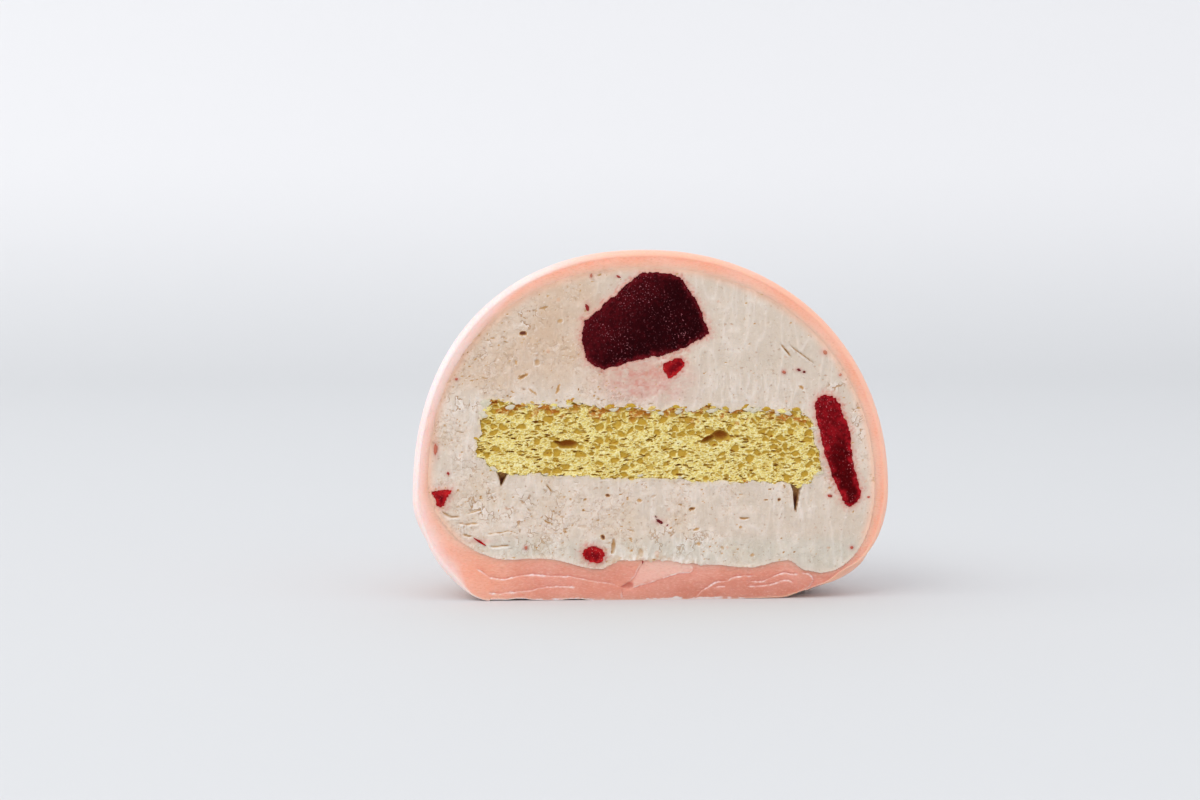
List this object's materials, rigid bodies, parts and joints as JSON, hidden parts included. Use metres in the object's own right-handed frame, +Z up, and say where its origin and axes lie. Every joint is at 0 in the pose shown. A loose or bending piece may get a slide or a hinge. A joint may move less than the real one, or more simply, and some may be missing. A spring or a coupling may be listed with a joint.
{
  "type": "mochi rice cake half",
  "caption": "Half of a cream-filled mochi rice cake, cut upright: pleated soft skin folded under the base, cream, a sponge layer and pieces of frozen berry on the cut face.",
  "frame": {"origin": "middle of the bounding box's bottom, where the base stands on the table", "axes": "+Z up, -Y the way the cut face looks, +X to the right across the cut face"},
  "size_m": [0.0622, 0.0306, 0.0455],
  "materials": {
    "mochi_skin": "soft, powdered with starch",
    "cream_filling": "matt, aerated",
    "sponge_layer": "matt, open crumb",
    "berry_top": "matt, frosted",
    "berry_side": "matt, frosted",
    "berry_chip": "matt, frosted"
  },
  "bodies": {
    "root": {"mochi_skin": "mochi_skin", "cream_filling": "cream_filling", "sponge_layer": "sponge_layer", "berry_top": "berry_top", "berry_side": "berry_side", "berry_chip_upper": "berry_chip", "berry_chip_left": "berry_chip", "berry_chip_base": "berry_chip"}
  },
  "joints": []
}
